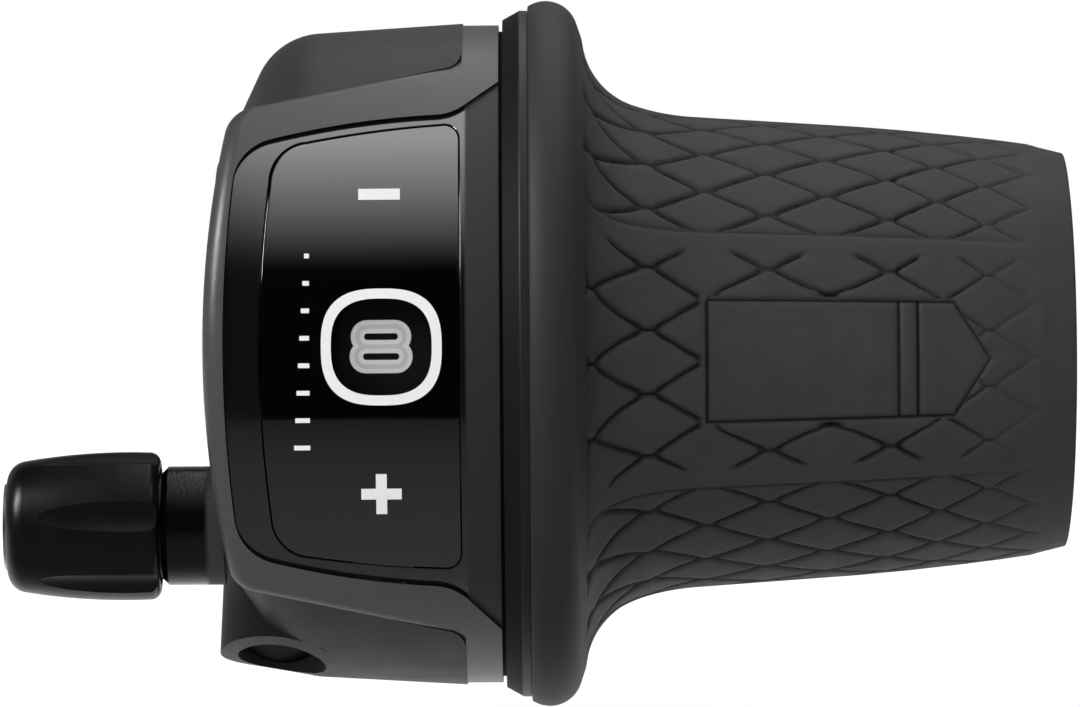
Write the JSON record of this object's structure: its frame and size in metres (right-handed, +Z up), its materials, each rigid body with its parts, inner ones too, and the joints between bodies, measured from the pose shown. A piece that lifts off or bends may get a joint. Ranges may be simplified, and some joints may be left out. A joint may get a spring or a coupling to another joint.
{
  "type": "twist grip shifter",
  "caption": "Handlebar twist shifter: flared rubber grip with diamond grooves turns a number dial behind a gear window in a clamped housing, with a barrel adjuster for the cable.",
  "frame": {"origin": "on the handlebar axis, in the plane of the clamp screw", "axes": "+X along the handlebar toward the open end of the grip, -Y toward the gear window, +Z up as in the picture"},
  "size_m": [0.0836, 0.0564, 0.0564],
  "materials": {
    "housing_plastic": "fine matte black moulding",
    "cover_plastic": "satin grey moulding",
    "bezel_plastic": "matte dark moulding",
    "panel_plastic": "polished black",
    "clear_pane": "clear, polished",
    "screw_steel": "zinc plated",
    "guide_brass": "drawn tube",
    "spring_steel": "bright spring steel",
    "tube_plastic": "satin black moulding",
    "grip_rubber": "matte black rubber",
    "drum_plastic": "natural nylon",
    "dial_plastic": "black moulding with printed numbers",
    "index_steel": "stamped steel",
    "knob_plastic": "glossy black moulding",
    "adjuster_aluminium": "turned"
  },
  "bodies": {
    "housing": {"main_housing": "housing_plastic", "front_cover": "cover_plastic", "window_bezel": "bezel_plastic", "lens_panel": "panel_plastic", "window_pane": "clear_pane", "cover_screws": "screw_steel", "clamp_screw": "screw_steel", "clamp_nut": "screw_steel", "cable_guide": "guide_brass", "detent_spring": "spring_steel", "adjuster_spring": "spring_steel"},
    "grip": {"grip_tube": "tube_plastic", "grip_rubber": "grip_rubber", "cable_drum": "drum_plastic", "number_dial": "dial_plastic", "index_ring": "index_steel", "thrust_washer": "drum_plastic", "drum_circlip": "spring_steel"},
    "seat": {"casing_seat": "adjuster_aluminium"},
    "adjuster": {"adjuster_knob": "knob_plastic", "adjuster_screw": "adjuster_aluminium"}
  },
  "joints": [
    {"name": "grip_twist", "type": "hinge", "parent": "housing", "child": "grip", "pos_m": [0, 0, 0], "axis": [1, 0, 0], "range_deg": [-154, 0], "deforming": ["detent_spring"]},
    {"name": "adjuster_slide", "type": "slide", "parent": "housing", "child": "seat", "axis": [-1, 0, 0], "range_m": [0, 0.005], "deforming": ["adjuster_spring"]},
    {"name": "adjuster_turn", "type": "hinge", "parent": "seat", "child": "adjuster", "pos_m": [-0.016, -0.01528, -0.0132], "axis": [-1, 0, 0], "range_deg": [0, 1800], "deforming": ["adjuster_spring"]}
  ],
  "couplings": [
    {"joint": "adjuster_turn", "follows": "adjuster_slide", "rad_per_m": 6283.2}
  ]
}
